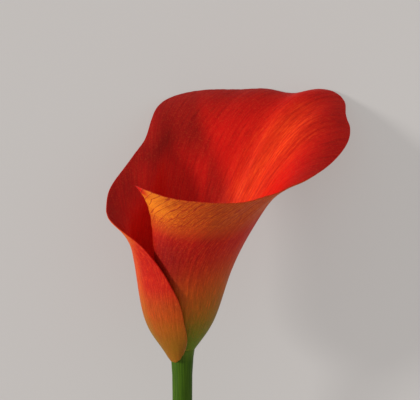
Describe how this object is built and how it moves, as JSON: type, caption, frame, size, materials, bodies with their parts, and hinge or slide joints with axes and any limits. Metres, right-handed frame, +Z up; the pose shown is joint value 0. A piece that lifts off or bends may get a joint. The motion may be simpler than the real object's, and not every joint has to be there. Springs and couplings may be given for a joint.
{
  "type": "arum lily flower",
  "caption": "Cut arum lily lying on its back: a flared, overlapping trumpet-shaped spathe with a spadix inside, on a smooth bare stem.",
  "frame": {"origin": "centre of the bounding box's base, on the surface the flower lies on", "axes": "+Y along the stem towards the flower's mouth, +Z up out of the flower's open front, +X across"},
  "size_m": [0.1048, 0.2926, 0.0771],
  "materials": {
    "stem": "smooth green plant skin, satin",
    "spathe": "soft satin petal, crimson inside, orange and red outside, green at the foot",
    "spadix": "fine matte beads, golden yellow"
  },
  "bodies": {
    "root": {"stem": "stem", "spathe": "spathe", "spadix": "spadix"}
  },
  "joints": []
}
